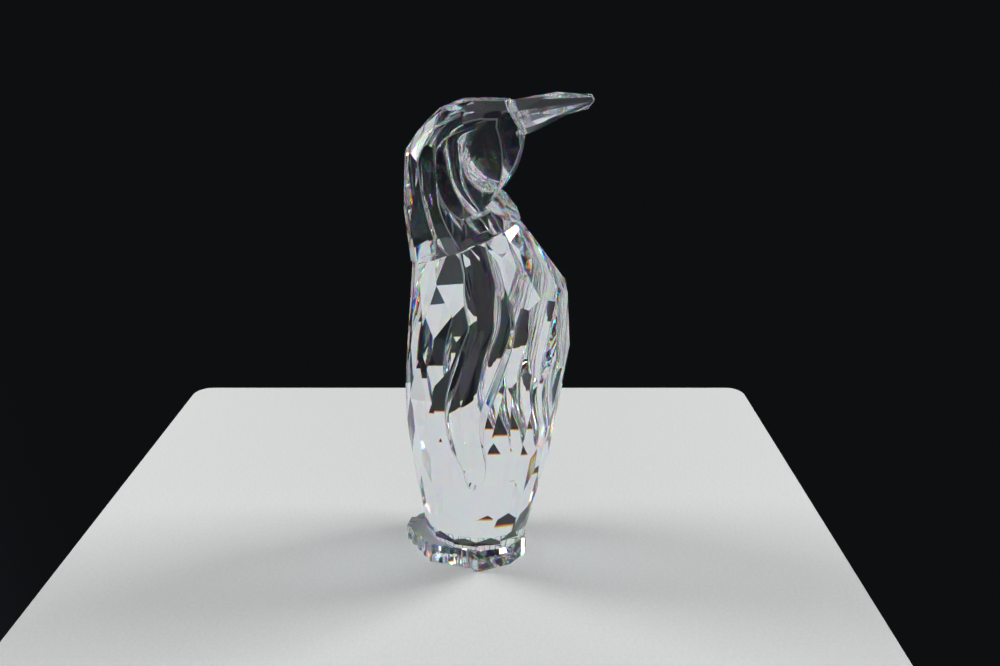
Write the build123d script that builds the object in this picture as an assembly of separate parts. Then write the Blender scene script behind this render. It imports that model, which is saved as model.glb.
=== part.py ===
from build123d import *
import os
from math import cos, pi, radians, sin, tan

# Cut-crystal penguin. It faces -Y and looks up, its right side is -X, and the table is Z = 0.
# Sizes are in millimetres and angles in degrees. A reach is how far a point lies in front of the
# middle of the foot, and a height is measured from the table.

# Main sizes
foot_height = 4.0
body_height = 62.3          # from the foot joint to the front end of the neck joint
belly_reach = 17.6          # in front of the middle of the foot
back_reach = 11.8           # behind it
body_half = 13.6            # half the width
head_height = 22.3          # from the middle of the neck joint to the crown
beak_length = 12.7
beak_half = 2.6             # half the width at its ridge
neck_tilt = 22.0            # the neck joint rises towards the breast

# Making
cement = 0.12               # thickness of each cement film
overrun = 40.0              # how far a cutter reaches past the glass
wall_round = 1.6            # radius that rounds over the wall of each step
wall_lean = 40.0            # lean of that wall at its top
columns = 14                # facets in one ring, all round

# Flutes on the flanks of the foot
flute_pitch = 1.75
flute_radius = 0.85
flute_depth = 0.34

# Foot outline, from the notch between the feet round the right side to the tail. One row for each
# corner: reach as a share of the belly's reach, or of the back's where it is negative, and half width
# as a share of the body's
foot_outline_shares = (
    (0.500, 0.000),
    (0.585, 0.066),
    (0.472, 0.324),
    (0.153, 0.580),
    (-0.051, 0.510),
    (-0.593, 0.510),
    (-1.136, 0.096),
)
toe_bevel_share = 0.25      # sloping facets on the feet, of the foot's height
tail_drop_share = 0.225     # fall of the tail's top, of the foot's height

# Body sections: height, front, back and side, as shares of the body's own sizes
body_section_shares = (
    (0.000, 0.562, 0.775, 0.500),
    (0.069, 0.622, 0.814, 0.690),
    (0.277, 0.791, 0.921, 0.905),
    (0.471, 0.900, 0.983, 0.974),
    (0.632, 0.979, 0.924, 1.000),
    (0.825, 0.933, 0.824, 0.859),
    (1.000, 0.470, 0.752, 0.540),
)
neck_share = 0.945          # height of the neck joint above the middle of the foot

# Flipper line: a sharp S-shaped step down each flank, with a smooth hollow behind it. One row for each
# corner: reach, height, and the radius that rounds it as a share of the body's height
flipper_line_shares = (
    (0.100, 1.050, 0.000),
    (0.360, 0.950, 0.080),
    (0.532, 0.762, 0.144),
    (0.206, 0.496, 0.241),
    (0.315, 0.343, 0.128),
    (0.165, 0.199, 0.000),
)
flipper_floor_shares = (0.576, 0.760)   # a height, and half the glass left between the two cuts there
flipper_lean = 6.3                      # the cut goes deeper towards the neck
flipper_flat_share = 0.0144             # floor beside the step, of the body's height
flipper_hollow_share = 0.093            # radius of the hollow, of the body's height

# Head, as shares of the belly's reach, the back's reach and the body's half width
face_share = 0.523
nape_share = 0.890
head_half_share = 0.590
# Head sections: height above the neck joint, front, back and side, as shares of the head's own sizes
head_section_shares = (
    (0.290, 0.955, 1.000, 0.980),
    (0.630, 1.000, 0.950, 0.900),
    (0.810, 1.000, 0.675, 0.735),
    (0.940, 0.980, 0.385, 0.520),
    (1.000, 0.870, 0.070, 0.300),
)

# Points on the head, each a reach and a height
seat_top_shares = (0.717, 0.9955)       # the beak's flat seat, from its top
seat_foot_shares = (0.995, 0.771)       # to its foot
chin_shares = (0.870, 0.565)            # the rounded chin runs in
notch_shares = (0.478, 0.318)           # to a sharp notch
throat_shares = (0.924, 0.161)          # and the neck runs out of it again

# Cheek: a polished hollow on each side of the head
cheek_shares = (0.415, 0.618)
cheek_half_share = 0.510                # half the glass left between the two hollows, of the head's
cheek_ball_share = 0.762                # radius of the hollow, of the head's height
cheek_turn = 6.0                        # how far the hollow faces forward
cheek_lift = 5.0                        # and upward

# Nape line: a like step round the back of the cheek and down the neck
nape_line_shares = (
    (0.109, 0.834, 0.000),
    (-0.343, 0.762, 0.157),
    (-0.314, 0.278, 0.538),
    (0.196, -0.063, 0.000),
)
nape_floor_shares = (0.314, 0.829)
nape_lean = 12.0
nape_flat_share = 0.022
nape_hollow_share = 0.224

# Beak outline, from the top of its seat round the tip: shares of the beak's length along it, and of the
# seat's depth above the top of the seat
beak_bend_shares = (0.575, 0.28)
beak_tip_shares = (1.000, 0.24)
beak_end_shares = (1.035, 0.06)
beak_under_tip_shares = (0.961, -0.18)
beak_under_bend_shares = (0.496, -0.52)
beak_jaw_shares = (0.291, -0.94)
# The ridge along each side, and how wide the beak is, as a share of its half width
beak_ridge_shares = (0.165, -0.24, 1.00)
beak_nib_shares = (1.000, 0.08, 0.29)
beak_under_shares = (0.496, -0.52, 0.23)

# Sizes that follow
body_floor = foot_height + cement
neck_height = body_floor + body_height * neck_share
crown_height = neck_height + head_height
face_reach = belly_reach * face_share
nape_reach = back_reach * nape_share
head_half = body_half * head_half_share


def at(reach, height, side=0.0):
    """The point this far in front of the middle, this high and this far out to one side."""
    return Vector(side, -reach, height)


def reach_from(share, front, back):
    """A reach from its share of the front, or of the back where it is negative."""
    return share * (front if share > 0 else back)


def on_body(reach_share, height_share):
    """The reach and height of a point on the body."""
    return reach_from(reach_share, belly_reach, back_reach), body_floor + body_height * height_share


def on_head(reach_share, height_share):
    """The reach and height of a point on the head."""
    return reach_from(reach_share, face_reach, nape_reach), neck_height + head_height * height_share


def on_beak(length_share, rise_share, half_share=0):
    """A point on the beak, measured from the top of its seat."""
    reach, top = on_head(*seat_top_shares)
    foot = on_head(*seat_foot_shares)[1]
    return at(reach + beak_length * length_share, top + (top - foot) * rise_share, beak_half * half_share)


def on_foot(reach_share, half_share):
    """A corner of the foot's outline, on the right side."""
    return at(reach_from(reach_share, belly_reach, back_reach), 0, -body_half * half_share)


def oval_point(section, turn):
    """The point of an oval section at this turn from the front."""
    height, front, back, half = section
    middle = (front - back) / 2
    depth = (front + back) / 2
    return at(middle + depth * cos(turn), height, half * sin(turn))


def oval_run(section, turn):
    """The direction along the rim of an oval section at this turn."""
    height, front, back, half = section
    depth = (front + back) / 2
    return Vector(half * cos(turn), depth * sin(turn), 0)


def sections_from(shares, floor, height, front, back, half):
    """Oval sections at their real size, from a table of shares."""
    return [
        (floor + height * share[0], front * share[1], back * share[2], half * share[3])
        for share in shares
    ]


def ring_turns(ring):
    """The turns of one ring's facets. Each ring is half a facet round from the one below."""
    stagger = 0 if ring % 2 else 0.5
    return [2 * pi * (column + stagger) / columns for column in range(columns)]


def leaning_plane(lower, upper, turn):
    """The facet that leans from one oval section to the next at this turn, facing outwards."""
    foot = oval_point(lower, turn)
    head = oval_point(upper, turn)
    run = oval_run(lower, turn) + oval_run(upper, turn)
    return Plane(origin=(foot + head) / 2, z_dir=run.cross(head - foot))


def ring_planes(sections, first_ring):
    """The facets of every ring between a stack of sections."""
    return [
        leaning_plane(lower, upper, turn)
        for ring, (lower, upper) in enumerate(zip(sections, sections[1:]), first_ring)
        for turn in ring_turns(ring)
    ]


def side_plane(first, second, third):
    """The plane through three points, facing away from the middle on the third point's side."""
    normal = (second - first).cross(third - first)
    return Plane(origin=first, z_dir=normal if normal.X * third.X > 0 else normal * -1)


def mirrored_plane(plane):
    """The like plane on the other side of the figurine."""
    origin = plane.origin
    normal = plane.z_dir
    return Plane(origin=(-origin.X, origin.Y, origin.Z), z_dir=(-normal.X, normal.Y, normal.Z))


def cut_facets(glass, planes):
    """Grind flat facets off a block one after another, keeping what lies behind each."""
    for plane in planes:
        glass = split(glass, bisect_by=plane, keep=Keep.BOTTOM)
    return glass


def block(floor, ceiling):
    """A wide block of glass between two heights."""
    centred = (Align.CENTER, Align.CENTER, Align.MIN)
    return Pos(0, 0, floor) * Box(overrun * 2, overrun * 2, ceiling - floor, align=centred)


def both_sides(cutter):
    """A cutter on the right side and its mirror image on the left."""
    return [cutter, mirror(cutter, about=Plane.YZ)]


def side_profile(*edges):
    """A flat outline in the middle plane, carried across the whole width."""
    return extrude(make_face(list(edges)), amount=overrun, both=True)


def film_behind(piece, joint_axis, end):
    """A cement film of the same outline as the end face of a piece along its joint axis."""
    face = piece.faces().sort_by(joint_axis)[end]
    return extrude(face, amount=cement, dir=face.normal_at())


def step_cutter(floor_height, floor_half, lean, line, flat, hollow):
    """A cutter for a step on the right side with a hollow behind it, along a line of rounded corners.

    Its section has a wall on the line that rounds over forwards, a narrow floor, and a quarter circle
    that climbs to the rear.
    """
    slope = radians(lean)
    floor_plane = Plane(
        origin=at(0, floor_height, -floor_half),
        x_dir=(0, -1, 0),
        z_dir=(-cos(slope), 0, sin(slope)),
    )
    corners = [(reach, height - floor_height) for reach, height, radius in line]
    radii = [radius for reach, height, radius in line[1:-1]]
    path = floor_plane * FilletPolyline(*corners, radius=radii)
    start = Plane(origin=path @ 0, x_dir=floor_plane.z_dir, z_dir=path % 0)
    top = radians(wall_lean)
    brow = (wall_round * sin(top), wall_round * (cos(top) - 1))
    crest = (hollow, brow[1] - (hollow - brow[0]) * tan(top))
    wall = Line(crest, brow)
    rounding = RadiusArc(brow, (0, 0), -wall_round)
    floor = Line((0, 0), (0, flat))
    climb = RadiusArc((0, flat), (hollow, flat + hollow), hollow)
    lid = Line((hollow, flat + hollow), crest)
    return sweep(start * make_face([wall, rounding, floor, climb, lid]), path=path)


def neck_ring(section, shoulder_lower, shoulder_upper, ring, neck_plane):
    """The lowest facets of the head, each standing on the rim of the body's facet below the joint."""
    planes = []
    for turn in ring_turns(ring):
        foot = oval_point(shoulder_lower, turn)
        rise = oval_point(shoulder_upper, turn) - foot
        way = (neck_plane.origin - foot).dot(neck_plane.z_dir) / rise.dot(neck_plane.z_dir)
        rim = foot + rise * way
        run = neck_plane.z_dir.cross(leaning_plane(shoulder_lower, shoulder_upper, turn).z_dir)
        planes.append(Plane(origin=rim, z_dir=run.cross(oval_point(section, turn) - rim)))
    return planes


def flipper_cutter():
    """The S-shaped cut on the right flank."""
    height_share, half_share = flipper_floor_shares
    return step_cutter(
        floor_height=body_floor + body_height * height_share,
        floor_half=body_half * half_share,
        lean=flipper_lean,
        line=[(*on_body(*row[:2]), body_height * row[2]) for row in flipper_line_shares],
        flat=body_height * flipper_flat_share,
        hollow=body_height * flipper_hollow_share,
    )


def nape_cutter():
    """The cut round the back of the cheek and down the neck, on the right side."""
    height_share, half_share = nape_floor_shares
    return step_cutter(
        floor_height=neck_height + head_height * height_share,
        floor_half=head_half * half_share,
        lean=nape_lean,
        line=[(*on_head(*row[:2]), head_height * row[2]) for row in nape_line_shares],
        flat=head_height * nape_flat_share,
        hollow=head_height * nape_hollow_share,
    )


def cheek_cutter():
    """The round hollow in the right cheek."""
    turn = radians(cheek_turn)
    lift = radians(cheek_lift)
    ball = head_height * cheek_ball_share
    deepest = at(*on_head(*cheek_shares), -head_half * cheek_half_share)
    outward = at(sin(turn) * cos(lift), sin(lift), -cos(turn) * cos(lift))
    return Pos(deepest + outward * ball) * Sphere(ball)


def throat_cutter():
    """What lies in front of the chin and the throat."""
    chin_top = at(*on_head(*seat_foot_shares))
    notch = at(*on_head(*notch_shares))
    outside = notch + (at(*on_head(*throat_shares)) - notch).normalized() * overrun
    front = at(overrun, chin_top.Z)
    return side_profile(
        ThreePointArc(chin_top, at(*on_head(*chin_shares)), notch),
        Line(notch, outside),
        Line(outside, front),
        Line(front, chin_top),
    )


def make_body(sections, neck_plane):
    """The trunk, with a flipper cut into each flank."""
    body = cut_facets(block(sections[0][0], crown_height), ring_planes(sections, 0) + [neck_plane])
    return body - both_sides(flipper_cutter())


def make_head(sections, lowest_ring, neck_face, seat_plane, first_ring):
    """The head and neck, with its cheeks, nape lines and throat."""
    facets = lowest_ring + ring_planes(sections, first_ring) + [seat_plane]
    head = cut_facets(split(block(0, crown_height), bisect_by=neck_face, keep=Keep.TOP), facets)
    return head - throat_cutter() - both_sides(cheek_cutter()) - both_sides(nape_cutter())


def make_beak(beak_face):
    """The beak: its side outline, cut to a ridge on each side."""
    seat_top = at(*on_head(*seat_top_shares))
    seat_foot = at(*on_head(*seat_foot_shares))
    bend = on_beak(*beak_bend_shares)
    tip = on_beak(*beak_tip_shares)
    outline = Polyline(
        seat_top,
        bend,
        tip,
        on_beak(*beak_end_shares),
        on_beak(*beak_under_tip_shares),
        on_beak(*beak_under_bend_shares),
        on_beak(*beak_jaw_shares),
        seat_foot,
        close=True,
    )
    ridge = on_beak(*beak_ridge_shares)
    nib = on_beak(*beak_nib_shares)
    under = on_beak(*beak_under_shares)
    left = [
        side_plane(seat_top, bend, ridge),
        side_plane(bend, tip, nib),
        side_plane(ridge, nib, under),
    ]
    beak = split(side_profile(outline), bisect_by=beak_face, keep=Keep.TOP)
    return cut_facets(beak, left + [mirrored_plane(plane) for plane in left])


def flute_places(start, end):
    """Centres of the flutes along one straight flank, evenly spaced and just outside it."""
    flank = end - start
    outward = flank.normalized().cross(Vector(0, 0, 1))
    count = int(flank.length // flute_pitch)
    offset = outward * (flute_radius - flute_depth)
    return [start + flank * ((step + 0.5) / count) + offset for step in range(count)]


def make_foot():
    """The foot: an outline with two feet and a tail, fluted flanks and sloping toes."""
    right = [on_foot(*row) for row in foot_outline_shares]
    split_end, toe_inner, toe, corner, waist, root, tail = right
    left = [Vector(-point.X, point.Y, 0) for point in reversed(right[1:])]
    foot = extrude(make_face(Polyline(*right, *left, close=True)), amount=foot_height, dir=(0, 0, 1))
    flutes = [
        Pos(place) * Cylinder(flute_radius, foot_height * 2)
        for start, end in ((tail, root), (root, waist), (waist, corner))
        for place in flute_places(start, end)
    ]
    foot -= [cutter for flute in flutes for cutter in both_sides(flute)]
    up = Vector(0, 0, 1)
    run = (corner - toe).normalized()
    bevel_foot = toe + up * foot_height * (1 - toe_bevel_share)
    slope = Plane(origin=bevel_foot, z_dir=up + up.cross(run))
    root_top = Vector(0, root.Y, foot_height)
    tail_end = Vector(0, tail.Y, foot_height * (1 - tail_drop_share))
    tail_top = Plane(origin=root_top, z_dir=Vector(1, 0, 0).cross(tail_end - root_top))
    return cut_facets(foot, [slope, mirrored_plane(slope), tail_top])


body_sections = sections_from(
    body_section_shares, body_floor, body_height, belly_reach, back_reach, body_half
)
head_sections = sections_from(
    head_section_shares, neck_height, head_height, face_reach, nape_reach, head_half
)

tilt = radians(neck_tilt)
neck_plane = Plane(origin=at(0, neck_height), z_dir=(0, sin(tilt), cos(tilt)))
neck_face = neck_plane.offset(cement)
seat_top = at(*on_head(*seat_top_shares))
seat_run = at(*on_head(*seat_foot_shares)) - seat_top
seat_plane = Plane(origin=seat_top, z_dir=seat_run.cross(Vector(1, 0, 0)))
beak_face = seat_plane.offset(cement)

top_ring = len(body_sections) - 2
lowest_ring = neck_ring(head_sections[0], body_sections[-2], body_sections[-1], top_ring, neck_plane)

body = make_body(body_sections, neck_plane)
head = make_head(head_sections, lowest_ring, neck_face, seat_plane, top_ring + 1)
beak = make_beak(beak_face)
pieces = {
    "body": body,
    "head": head,
    "beak": beak,
    "foot_base": make_foot(),
    "neck_cement": film_behind(body, Axis(neck_plane.origin, neck_plane.z_dir), -1),
    "beak_cement": film_behind(beak, Axis(seat_plane.origin, seat_plane.z_dir), 0),
    "foot_cement": film_behind(body, Axis.Z, 0),
}

os.makedirs("parts", exist_ok=True)
for name, piece in pieces.items():
    export_step(piece, f"parts/{name}.step")
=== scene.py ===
import math
from typing import NamedTuple

import bmesh
import bpy
import numpy as np
from bpy.props import FloatProperty, FloatVectorProperty, PointerProperty
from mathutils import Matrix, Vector


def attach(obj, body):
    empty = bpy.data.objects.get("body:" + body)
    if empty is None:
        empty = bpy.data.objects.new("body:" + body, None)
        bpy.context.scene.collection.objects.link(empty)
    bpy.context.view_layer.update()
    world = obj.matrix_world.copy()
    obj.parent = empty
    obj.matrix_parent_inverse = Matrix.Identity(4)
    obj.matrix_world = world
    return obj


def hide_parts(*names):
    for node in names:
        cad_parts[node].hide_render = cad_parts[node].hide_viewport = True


bl_info = {
    "name": "Cut-crystal penguin",
    "version": (1, 0, 0),
    "blender": (4, 5, 0),
    "location": "View3D > Sidebar > Penguin",
    "description": "Polishes the crystal blocks of a penguin figurine, cements them and sets the stage",
    "category": "Object",
}

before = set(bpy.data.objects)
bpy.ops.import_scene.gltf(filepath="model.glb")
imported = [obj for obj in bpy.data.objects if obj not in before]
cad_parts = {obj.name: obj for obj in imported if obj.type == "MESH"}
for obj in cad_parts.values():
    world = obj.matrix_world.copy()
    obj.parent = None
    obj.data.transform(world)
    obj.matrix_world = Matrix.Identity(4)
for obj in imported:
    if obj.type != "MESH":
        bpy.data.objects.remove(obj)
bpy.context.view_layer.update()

MM = 0.001
BODY = "root"
BLOCKS = ("body", "head", "beak", "foot_base")
FILMS = ("neck_cement", "beak_cement", "foot_cement")
WHITISH_FILM = "beak_cement"

# Places of a block's materials in its list
POLISHED_FACE = 0
CEMENTED_FACE = 1
GROUND_EDGE = 2

# Tolerances for reading the CAD meshes
MERGE_DISTANCE = 0.0005 * MM
FLAT_ANGLE = math.radians(0.05)
SAME_FACET_ANGLE = math.radians(0.5)
JOINT_DISTANCE = 0.01 * MM
JOINT_FACING = 0.9999
CUT_DISTANCE = 0.001 * MM

# The picture that the camera is matched to, in pixels, with the level's rise above its middle
PICTURE_WIDTH = 1000
FOCAL_LENGTH = 750
LEVEL_RISE = 332
SENSOR_WIDTH_MM = 36

FLOOR_GAP = 0.04 * MM
CORNER_POINTS = 9

# Soft boxes: name, place to the right, beyond and above, size, both in metres, and share of the power
SOFT_BOXES = (
    ("lamp_left", (-0.34, 0.06, 0.26), (0.12, 0.26), 1.3),
    ("lamp_right", (0.34, 0.08, 0.33), (0.14, 0.14), 1.6),
    ("lamp_top", (-0.04, -0.06, 0.48), (0.50, 0.50), 0.5),
)
LAMP_AIM = Vector((0, 0, 0.03))

# Light crosses many faces in the crystal before it leaves
LIGHT_BOUNCES = 32
GLOSSY_BOUNCES = 16


def to_linear(hex_colour):
    """An sRGB hex colour as linear red, green and blue."""
    srgb = np.array([int(hex_colour[i:i + 2], 16) for i in (0, 2, 4)]) / 255
    return tuple(np.where(srgb <= 0.04045, srgb / 12.92, ((srgb + 0.055) / 1.055) ** 2.4))


class PENGUIN_PG_crystal(bpy.types.PropertyGroup):
    """Sizes and optics of the cut crystal."""

    ior: FloatProperty(
        name="Index of refraction",
        description="Lead crystal bends light more than window glass",
        default=1.55, min=1.3, max=2.0,
    )
    dispersion: FloatProperty(
        name="Dispersion",
        description="How much more the index is for blue than for red",
        default=0.015, min=0.0, max=0.2,
    )
    rim_width: FloatProperty(
        name="Ground rim",
        description="Width of the rounded rim between a hollow and a facet",
        default=0.13 * MM, min=0.0, unit="LENGTH", precision=6,
    )
    rim_limit: FloatProperty(
        name="Rim limit",
        description="A hollow's rim that turns by more than this stays sharp",
        default=math.radians(80), subtype="ANGLE",
    )
    rim_clearness: FloatProperty(
        name="Rim clearness",
        description="Share of the light that goes through the ground rim",
        default=0.6, min=0.0, max=1.0, subtype="FACTOR",
    )
    rim_roughness: FloatProperty(
        name="Rim roughness",
        description="How matt the ground rim is",
        default=0.25, min=0.0, max=1.0, subtype="FACTOR",
    )
    facet_breadth: FloatProperty(
        name="Narrowest facet",
        description="A flat face this broad or broader is a facet, and a narrower one belongs to a hollow",
        default=1.0 * MM, min=0.0, unit="LENGTH", precision=6,
    )
    crease: FloatProperty(
        name="Crease",
        description="Faces that meet at more than this angle keep a sharp edge between them",
        default=math.radians(11), subtype="ANGLE",
    )
    tint: FloatVectorProperty(
        name="Tint",
        description="Colour that the glass gives to the light in it, slightly cool",
        default=to_linear("FAFCFF"), subtype="COLOR", min=0.0, max=1.0,
    )
    dust_spacing: FloatProperty(
        name="Dust spacing",
        description="Usual distance between dust specks",
        default=1.6 * MM, min=0.0, unit="LENGTH", precision=6,
    )
    dust_size: FloatProperty(
        name="Dust size",
        description="Size of the largest specks, drawn coarse enough to show",
        default=0.09 * MM, min=0.0, unit="LENGTH", precision=6,
    )
    dust_roughness: FloatProperty(
        name="Dust roughness",
        description="How matt the middle of a speck is",
        default=0.6, min=0.0, max=1.0, subtype="FACTOR",
    )


class PENGUIN_PG_cement(bpy.types.PropertyGroup):
    """The cured cement in the three joints."""

    clear_colour: FloatVectorProperty(
        name="Clear cement",
        description="Colour of the haze in the clear joints",
        default=to_linear("E4E9EC"), subtype="COLOR", min=0.0, max=1.0,
    )
    clear_haze: FloatProperty(
        name="Clear cement's haze",
        description="How much the clear cement hides where it is cloudiest",
        default=0.06, min=0.0, max=1.0, subtype="FACTOR",
    )
    white_colour: FloatVectorProperty(
        name="Whitish cement",
        description="Colour of the cement behind the beak",
        default=to_linear("E9ECEE"), subtype="COLOR", min=0.0, max=1.0,
    )
    white_haze: FloatProperty(
        name="Whitish cement's haze",
        description="How much the whitish cement hides where it is cloudiest",
        default=0.5, min=0.0, max=1.0, subtype="FACTOR",
    )
    cloud_size: FloatProperty(
        name="Cloud size",
        description="Size of the cloudy places in the cement",
        default=2.0 * MM, min=0.0, unit="LENGTH", precision=6,
    )
    least_haze: FloatProperty(
        name="Least haze",
        description="Share of the haze that is left where the cement is clearest",
        default=0.4, min=0.0, max=1.0, subtype="FACTOR",
    )
    bubble_spacing: FloatProperty(
        name="Bubble spacing",
        description="Usual distance between the bubbles in a joint",
        default=5.0 * MM, min=0.0, unit="LENGTH", precision=6,
    )
    bubble_size: FloatProperty(
        name="Bubble size",
        description="Width of the larger bubbles",
        default=1.3 * MM, min=0.0, unit="LENGTH", precision=6,
    )
    bubble_rim: FloatProperty(
        name="Bubble rim",
        description="Half the width of a bubble's pale rim, as a share of its radius",
        default=0.15, min=0.0, max=1.0, subtype="FACTOR",
    )
    bubble_haze: FloatProperty(
        name="Bubble haze",
        description="How much more a bubble's rim hides than the film round it",
        default=0.5, min=0.0, max=1.0, subtype="FACTOR",
    )


class PENGUIN_PG_stage(bpy.types.PropertyGroup):
    """The plain pale floor, the backdrop beyond it, the lamps and the camera."""

    view_turn: FloatProperty(
        name="View turn",
        description="How far the floor and the camera are turned from the side of the figurine",
        default=math.radians(12), subtype="ANGLE",
    )
    camera_place: FloatVectorProperty(
        name="Camera place",
        description="How far the lens is to the right of the figurine, beyond it and above the floor",
        default=(5.2 * MM, -120.0 * MM, 99.0 * MM), size=3, unit="LENGTH", precision=5,
    )
    camera_dip: FloatProperty(
        name="Camera dip",
        description="How far the camera looks down from the level",
        default=math.atan(LEVEL_RISE / FOCAL_LENGTH), subtype="ANGLE",
    )
    floor_size: FloatVectorProperty(
        name="Floor",
        description="Width, length and thickness of the pale floor",
        default=(151.7 * MM, 150.0 * MM, 3.0 * MM), size=3, unit="LENGTH", precision=5,
    )
    floor_middle: FloatVectorProperty(
        name="Floor middle",
        description="How far the middle of the floor is to the right of the figurine and beyond it",
        default=(-3.4 * MM, -9.2 * MM), size=2, unit="LENGTH", precision=5,
    )
    floor_corner: FloatProperty(
        name="Floor corner",
        description="Radius of the floor's corners",
        default=4.0 * MM, min=0.0, unit="LENGTH", precision=5,
    )
    floor_colour: FloatVectorProperty(
        name="Floor colour",
        description="Pale, nearly neutral",
        default=to_linear("D9D8D5"), subtype="COLOR", min=0.0, max=1.0,
    )
    grain_size: FloatProperty(
        name="Floor grain",
        description="Size of the faint grain in the floor",
        default=0.6 * MM, min=0.0, unit="LENGTH", precision=6,
    )
    grain_depth: FloatProperty(
        name="Grain depth",
        description="How much lighter or darker than the floor's colour the grain is",
        default=0.03, min=0.0, max=1.0, subtype="FACTOR",
    )
    dark_colour: FloatVectorProperty(
        name="Dark colour",
        description="What lies beyond the floor, which makes the cuts in the clear crystal show",
        default=to_linear("0D0F11"), subtype="COLOR", min=0.0, max=1.0,
    )
    grey_colour: FloatVectorProperty(
        name="Grey colour",
        description="What the dark fades to on the left and behind the camera",
        default=to_linear("5A5F66"), subtype="COLOR", min=0.0, max=1.0,
    )
    fade_start: FloatProperty(
        name="Fade start",
        description="Where the fade starts: -1 is ahead and to the right, and 1 behind and to the left",
        default=-0.15, min=-1.0, max=1.0,
    )
    lamp_power: FloatProperty(
        name="Lamp power",
        description="Power of a soft box with a share of one",
        default=0.92, min=0.0, unit="POWER",
    )
    lamp_colour: FloatVectorProperty(
        name="Lamp colour",
        description="Colour of the light, slightly cool",
        default=(0.95, 0.98, 1.0), subtype="COLOR", min=0.0, max=1.0,
    )


def add_node(tree, kind, settings=None, **inputs):
    """Add a node, set its properties, and give each input, by name or number, a value or a link."""
    node = tree.nodes.new(kind)
    for name, value in (settings or {}).items():
        setattr(node, name, value)
    for name, value in inputs.items():
        key = int(name[1:]) if name[0] == "_" else name.replace("_", " ")
        if isinstance(value, bpy.types.NodeSocket):
            tree.links.new(value, node.inputs[key])
        else:
            node.inputs[key].default_value = value
    return node


def new_material(name):
    """An empty node material, its node tree and its output node."""
    material = bpy.data.materials.new(name)
    material.use_nodes = True
    material.node_tree.nodes.clear()
    return material, material.node_tree, material.node_tree.nodes.new("ShaderNodeOutputMaterial")


def crystal_material(look):
    """Lead crystal, cut and polished: clear, bright, bending light strongly, with a little dust on it."""
    material, tree, output = new_material("LeadCrystalCutPolished")
    place = add_node(tree, "ShaderNodeTexCoord").outputs["Object"]
    cells = add_node(
        tree, "ShaderNodeTexVoronoi", {"voronoi_dimensions": "3D"},
        Vector=place, Scale=1 / look.dust_spacing,
    )
    reach = look.dust_size / look.dust_spacing / 2
    speck = add_node(
        tree, "ShaderNodeMapRange", {"interpolation_type": "SMOOTHSTEP"},
        Value=cells.outputs["Distance"], From_Min=reach, From_Max=reach / 2,
        To_Min=0.0, To_Max=look.dust_roughness,
    )
    leaving = add_node(
        tree, "ShaderNodeBsdfPrincipled", None,
        Base_Color=(*look.tint, 1), IOR=look.ior, Transmission_Weight=1.0,
        Roughness=speck.outputs["Result"],
    )
    # Where light goes in, blue is bent more than red, which gives the coloured fringes of cut crystal.
    entering = None
    for channel, shift in enumerate((-0.5, 0.0, 0.5)):
        colour = [0.0, 0.0, 0.0, 1.0]
        colour[channel] = look.tint[channel]
        glass = add_node(
            tree, "ShaderNodeBsdfGlass", None,
            Color=colour, IOR=look.ior + shift * look.dispersion, Roughness=speck.outputs["Result"],
        ).outputs[0]
        if entering is not None:
            glass = add_node(tree, "ShaderNodeAddShader", None, _0=entering, _1=glass).outputs[0]
        entering = glass
    backs = add_node(tree, "ShaderNodeNewGeometry").outputs["Backfacing"]
    crystal = add_node(tree, "ShaderNodeMixShader", None, Fac=backs, _1=entering, _2=leaving.outputs[0])
    tree.links.new(crystal.outputs[0], output.inputs["Surface"])
    return material


def ground_edge_material(look):
    """Lead crystal, edge finely ground: the matt rim catches any light and shows as a thin pale line."""
    material, tree, output = new_material("LeadCrystalEdgeGround")
    glass = add_node(
        tree, "ShaderNodeBsdfPrincipled", None,
        Base_Color=(*look.tint, 1), IOR=look.ior,
        Transmission_Weight=look.rim_clearness, Roughness=look.rim_roughness,
    )
    tree.links.new(glass.outputs[0], output.inputs["Surface"])
    return material


def bonded_material():
    """Ground crystal wetted out by cement of the same index: light goes straight on, and no face shows."""
    material, tree, output = new_material("CrystalFaceCemented")
    clear = add_node(tree, "ShaderNodeBsdfTransparent")
    tree.links.new(clear.outputs[0], output.inputs["Surface"])
    return material


def cement_material(name, colour, haze, look):
    """Acrylic cement, poured and cured: a cloudy film with the pale rims of round bubbles in it."""
    material, tree, output = new_material(name)
    place = add_node(tree, "ShaderNodeTexCoord").outputs["Object"]
    cells = add_node(
        tree, "ShaderNodeTexVoronoi", {"voronoi_dimensions": "3D"},
        Vector=place, Scale=1 / look.bubble_spacing,
    )
    radius = look.bubble_size / look.bubble_spacing / 2
    rim = add_node(
        tree, "ShaderNodeMath", {"operation": "COMPARE"},
        _0=cells.outputs["Distance"], _1=radius, _2=radius * look.bubble_rim,
    )
    cloud = add_node(
        tree, "ShaderNodeTexNoise", None,
        Vector=place, Scale=1 / look.cloud_size, Detail=3.0, Roughness=0.6,
    )
    film = add_node(
        tree, "ShaderNodeMapRange", None,
        Value=cloud.outputs["Fac"], From_Min=0.35, From_Max=0.7,
        To_Min=haze * look.least_haze, To_Max=haze,
    )
    share = add_node(
        tree, "ShaderNodeMath", {"operation": "MULTIPLY_ADD", "use_clamp": True},
        _0=rim.outputs[0], _1=look.bubble_haze, _2=film.outputs["Result"],
    )
    cloudy = add_node(
        tree, "ShaderNodeBsdfPrincipled", None,
        Base_Color=(*colour, 1), IOR=1.5, Roughness=0.35,
    )
    clear = add_node(tree, "ShaderNodeBsdfTransparent")
    surface = add_node(
        tree, "ShaderNodeMixShader", None,
        Fac=share.outputs[0], _1=clear.outputs[0], _2=cloudy.outputs[0],
    )
    tree.links.new(surface.outputs[0], output.inputs["Surface"])
    return material


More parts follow.
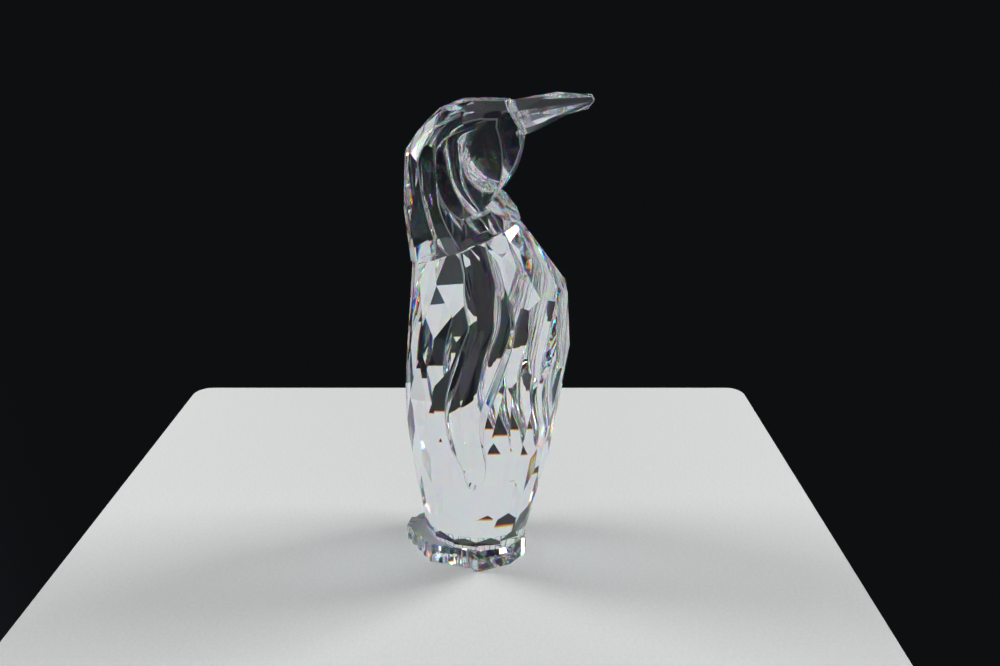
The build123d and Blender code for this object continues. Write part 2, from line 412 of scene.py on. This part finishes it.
def floor_material(look):
    """Card, pressed and left matt: even and pale, with hardly any grain."""
    material, tree, output = new_material("CardPressedMatt")
    place = add_node(tree, "ShaderNodeTexCoord").outputs["Object"]
    grain = add_node(tree, "ShaderNodeTexNoise", None, Vector=place, Scale=1 / look.grain_size, Detail=3.0)
    shade = add_node(
        tree, "ShaderNodeMapRange", None,
        Value=grain.outputs["Fac"], From_Min=0.3, From_Max=0.7,
        To_Min=1 - look.grain_depth, To_Max=1 + look.grain_depth,
    )
    colour = add_node(
        tree, "ShaderNodeVectorMath", {"operation": "SCALE"},
        _0=tuple(look.floor_colour), Scale=shade.outputs["Result"],
    )
    card = add_node(
        tree, "ShaderNodeBsdfPrincipled", None,
        Base_Color=colour.outputs[0], Roughness=0.9, Specular_IOR_Level=0.2,
    )
    tree.links.new(card.outputs[0], output.inputs["Surface"])
    return material


def merged_copy(node):
    """A bmesh of a CAD node with its triangles joined and its flat faces made whole."""
    mesh = bmesh.new()
    mesh.from_mesh(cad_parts[node].data)
    bmesh.ops.remove_doubles(mesh, verts=mesh.verts, dist=MERGE_DISTANCE)
    bmesh.ops.dissolve_limit(mesh, angle_limit=FLAT_ANGLE, verts=mesh.verts, edges=mesh.edges)
    mesh.normal_update()
    return mesh


class Joint(NamedTuple):
    """A joint that a film of cement fills."""

    middle: Vector
    across: Vector
    half_thickness: float
    outline: list


def film_joint(film):
    """The joint of a film, read from the film's largest face and its thickness behind that face."""
    mesh = merged_copy(film)
    face = max(mesh.faces, key=lambda f: f.calc_area())
    across = face.normal.copy()
    offsets = [across.dot(v.co) for v in mesh.verts]
    half = (max(offsets) - min(offsets)) / 2
    outline = [v.co.copy() for v in face.verts]
    mesh.free()
    return Joint(sum(outline, Vector()) / len(outline) - across * half, across, half, outline)


def sides(outline):
    """Each corner of a closed outline with the one after it."""
    return zip(outline, outline[1:] + outline[:1])


def on_joint(face, joint):
    """True if a face lies flat against the film of this joint."""
    distance = abs(joint.across.dot(face.calc_center_median() - joint.middle))
    flat = abs(face.normal.dot(joint.across)) > JOINT_FACING
    return flat and abs(distance - joint.half_thickness) < JOINT_DISTANCE


def imprint(mesh, joint):
    """Divide a face that a film covers only in part along the film's outline."""
    for start, end in sides(joint.outline):
        covered = [f for f in mesh.faces if on_joint(f, joint)]
        geometry = covered + list({e for f in covered for e in f.edges})
        geometry += list({v for f in covered for v in f.verts})
        bmesh.ops.bisect_plane(
            mesh, geom=geometry, dist=CUT_DISTANCE, plane_co=start,
            plane_no=(end - start).cross(joint.across),
        )


def under_film(face, joint):
    """True if the outline of the film turns once round the middle of a face that lies on the joint."""
    point = face.calc_center_median()
    turn = sum(
        math.atan2(a.cross(b).dot(joint.across), a.dot(b))
        for a, b in sides([corner - point for corner in joint.outline])
    )
    return abs(turn) > math.pi


def finish_mesh(mesh, name, replaced, materials):
    """Put a bmesh into an object at the origin that rides the body and stands for a CAD node."""
    data = bpy.data.meshes.new(name)
    mesh.to_mesh(data)
    mesh.free()
    for material in materials:
        data.materials.append(material)
    piece = bpy.data.objects.new(name, data)
    bpy.context.scene.collection.objects.link(piece)
    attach(piece, BODY)
    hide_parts(replaced)
    return piece


def view_ways(look):
    """The level directions to the right of the view and away from the camera."""
    sine, cosine = math.sin(look.view_turn), math.cos(look.view_turn)
    return Vector((sine, -cosine, 0)), Vector((cosine, sine, 0))


def stage_point(look, rightwards, beyond, height):
    """A point this far to the right of the figurine, this far beyond it and this high, in metres."""
    right, ahead = view_ways(look)
    return right * rightwards + ahead * beyond + Vector((0, 0, height))


class PENGUIN_OT_crystal_blocks(bpy.types.Operator):
    """Polish the four crystal blocks: crisp flat facets, smooth hollows and finely ground rims"""

    bl_idname = "penguin.crystal_blocks"
    bl_label = "Crystal blocks"

    def execute(self, context):
        look = context.scene.penguin_crystal
        materials = [crystal_material(look), bonded_material(), ground_edge_material(look)]
        joints = [film_joint(film) for film in FILMS]
        for block in BLOCKS:
            mesh = merged_copy(block)
            for joint in joints:
                imprint(mesh, joint)
            self.mark_edges(mesh, look)
            for face in mesh.faces:
                bonded = any(on_joint(face, joint) and under_film(face, joint) for joint in joints)
                face.material_index = CEMENTED_FACE if bonded else POLISHED_FACE
            piece = finish_mesh(mesh, f"{block}_crystal", block, materials)
            rim = piece.modifiers.new("PolishedRim", "BEVEL")
            rim.limit_method = "WEIGHT"
            rim.width = look.rim_width
            rim.segments = 2
            rim.material = GROUND_EDGE
            rim.use_clamp_overlap = False
        return {"FINISHED"}

    def mark_edges(self, mesh, look):
        """Facets are shaded flat and hollows smooth. The rims between the two are marked for rounding."""
        rims = mesh.edges.layers.float.new("bevel_weight_edge")
        for face in mesh.faces:
            breadth = face.calc_area() / max(edge.calc_length() for edge in face.edges)
            face.smooth = breadth < look.facet_breadth
        for edge in mesh.edges:
            if len(edge.link_faces) != 2:
                raise RuntimeError("a crystal block isn't closed")
            angle = edge.calc_face_angle()
            curved = sum(face.smooth for face in edge.link_faces)
            sharp = angle > look.crease or (not curved and angle > SAME_FACET_ANGLE)
            edge.smooth = not sharp
            if sharp and curved == 1 and angle < look.rim_limit:
                edge[rims] = 1.0


class PENGUIN_OT_cement_films(bpy.types.Operator):
    """Cement the blocks together: thin films, clear at the neck and foot and whitish behind the beak"""

    bl_idname = "penguin.cement_films"
    bl_label = "Cement films"

    def execute(self, context):
        look = context.scene.penguin_cement
        clear = cement_material("AcrylicCementClear", look.clear_colour, look.clear_haze, look)
        white = cement_material("AcrylicCementWhitish", look.white_colour, look.white_haze, look)
        for film in FILMS:
            whitish = film == WHITISH_FILM
            piece = finish_mesh(
                merged_copy(film), f"{film}_film", film,
                [white if whitish else clear],
            )
            piece.data.shade_flat()
        return {"FINISHED"}


class PENGUIN_OT_stage(bpy.types.Operator):
    """Set the stage: a plain pale floor, a plain backdrop, three soft boxes and the camera"""

    bl_idname = "penguin.stage"
    bl_label = "Stage"

    def execute(self, context):
        look = context.scene.penguin_stage
        self.make_floor(context, look)
        self.make_lamps(context, look)
        self.make_camera(context, look)
        context.scene.world = self.make_world(look)
        context.scene.view_settings.view_transform = "Standard"
        cycles = context.scene.cycles
        cycles.max_bounces = LIGHT_BOUNCES
        cycles.transmission_bounces = LIGHT_BOUNCES
        cycles.transparent_max_bounces = LIGHT_BOUNCES
        cycles.glossy_bounces = GLOSSY_BOUNCES
        # What leaves the crystal lightens its shadow.
        cycles.caustics_reflective = True
        cycles.caustics_refractive = True
        return {"FINISHED"}

    def make_floor(self, context, look):
        """A slab with rounded corners: each corner is a quarter circle, carried down the thickness."""
        width, length, thickness = look.floor_size
        inner = np.array((width, length)) / 2 - look.floor_corner
        turns = np.linspace(0, math.pi / 2, CORNER_POINTS)
        corners = []
        for quarter, signs in enumerate(((1, 1), (-1, 1), (-1, -1), (1, -1))):
            angles = turns + quarter * math.pi / 2
            arc = look.floor_corner * np.stack((np.cos(angles), np.sin(angles)), 1)
            corners.append(np.array(look.floor_middle) + inner * signs + arc)
        plan = np.concatenate(corners) @ np.array([way[:2] for way in view_ways(look)])
        count = len(plan)
        # The top is a hair below the foot, so that the two faces don't share a plane.
        top = np.column_stack((plan, np.full(count, -FLOOR_GAP)))
        bottom = np.column_stack((plan, np.full(count, -thickness)))
        ring = np.arange(count)
        after = np.roll(ring, -1)
        walls = np.stack((ring, ring + count, after + count, after), 1).tolist()
        faces = [ring[::-1].tolist(), (ring + count).tolist()] + walls
        data = bpy.data.meshes.new("floor")
        data.from_pydata(np.concatenate((top, bottom)).tolist(), [], faces)
        fixed = bmesh.new()
        fixed.from_mesh(data)
        bmesh.ops.recalc_face_normals(fixed, faces=fixed.faces)
        fixed.to_mesh(data)
        fixed.free()
        data.materials.append(floor_material(look))
        floor = bpy.data.objects.new("floor", data)
        context.scene.collection.objects.link(floor)

    def make_lamps(self, context, look):
        """Three soft boxes: left and right a little beyond the figurine, and a large one overhead."""
        for name, spot, size, share in SOFT_BOXES:
            data = bpy.data.lights.new(name, "AREA")
            data.shape = "RECTANGLE"
            data.size, data.size_y = size
            data.energy = look.lamp_power * share
            data.color = look.lamp_colour
            lamp = bpy.data.objects.new(name, data)
            lamp.location = stage_point(look, *spot)
            lamp.rotation_euler = (LAMP_AIM - lamp.location).to_track_quat("-Z", "Y").to_euler()
            lamp.visible_camera = False
            context.scene.collection.objects.link(lamp)

    def make_camera(self, context, look):
        """A camera that looks down along the floor, without roll, a little to the right of the figurine."""
        data = bpy.data.cameras.new("camera")
        data.sensor_width = SENSOR_WIDTH_MM
        data.lens = SENSOR_WIDTH_MM * FOCAL_LENGTH / PICTURE_WIDTH
        camera = bpy.data.objects.new("camera", data)
        camera.location = stage_point(look, *look.camera_place)
        way = stage_point(look, 0, math.cos(look.camera_dip), -math.sin(look.camera_dip))
        camera.rotation_euler = way.to_track_quat("-Z", "Y").to_euler()
        context.scene.collection.objects.link(camera)
        context.scene.camera = camera

    def make_world(self, look):
        """A plain backdrop: dark beyond the floor, fading to grey on the left and behind the camera."""
        world = bpy.data.worlds.new("BackdropDarkToGrey")
        world.use_nodes = True
        tree = world.node_tree
        right, ahead = view_ways(look)
        turn = add_node(
            tree, "ShaderNodeVectorMath", {"operation": "DOT_PRODUCT"},
            _0=add_node(tree, "ShaderNodeTexCoord").outputs["Generated"],
            _1=-(right + ahead).normalized(),
        )
        fade = add_node(
            tree, "ShaderNodeMapRange", {"interpolation_type": "SMOOTHSTEP"},
            Value=turn.outputs["Value"], From_Min=look.fade_start, From_Max=1.0, To_Min=0.0, To_Max=1.0,
        )
        # The mix node's sockets share their names, so its pair of vectors and their result go by number.
        colour = add_node(
            tree, "ShaderNodeMix", {"data_type": "VECTOR"},
            Factor=fade.outputs["Result"], _4=tuple(look.dark_colour), _5=tuple(look.grey_colour),
        )
        tree.links.new(colour.outputs[1], tree.nodes["Background"].inputs["Color"])
        return world


class PENGUIN_PT_sidebar(bpy.types.Panel):
    """Lists the steps and their settings."""

    bl_idname = "PENGUIN_PT_sidebar"
    bl_label = "Cut-crystal penguin"
    bl_space_type = "VIEW_3D"
    bl_region_type = "UI"
    bl_category = "Penguin"

    def draw(self, context):
        scene = context.scene
        steps = (
            (PENGUIN_OT_crystal_blocks, scene.penguin_crystal),
            (PENGUIN_OT_cement_films, scene.penguin_cement),
            (PENGUIN_OT_stage, scene.penguin_stage),
        )
        for operator, settings in steps:
            box = self.layout.box()
            for name in settings.bl_rna.properties.keys():
                if name not in ("rna_type", "name"):
                    box.prop(settings, name)
            box.operator(operator.bl_idname)


CLASSES = (
    PENGUIN_PG_crystal,
    PENGUIN_PG_cement,
    PENGUIN_PG_stage,
    PENGUIN_OT_crystal_blocks,
    PENGUIN_OT_cement_films,
    PENGUIN_OT_stage,
    PENGUIN_PT_sidebar,
)


def register():
    for cls in CLASSES:
        bpy.utils.register_class(cls)
    bpy.types.Scene.penguin_crystal = PointerProperty(type=PENGUIN_PG_crystal)
    bpy.types.Scene.penguin_cement = PointerProperty(type=PENGUIN_PG_cement)
    bpy.types.Scene.penguin_stage = PointerProperty(type=PENGUIN_PG_stage)


def unregister():
    del bpy.types.Scene.penguin_stage
    del bpy.types.Scene.penguin_cement
    del bpy.types.Scene.penguin_crystal
    for cls in reversed(CLASSES):
        bpy.utils.unregister_class(cls)


def main():
    register()
    bpy.ops.penguin.crystal_blocks()
    bpy.ops.penguin.cement_films()
    bpy.ops.penguin.stage()


if __name__ == "__main__":
    main()
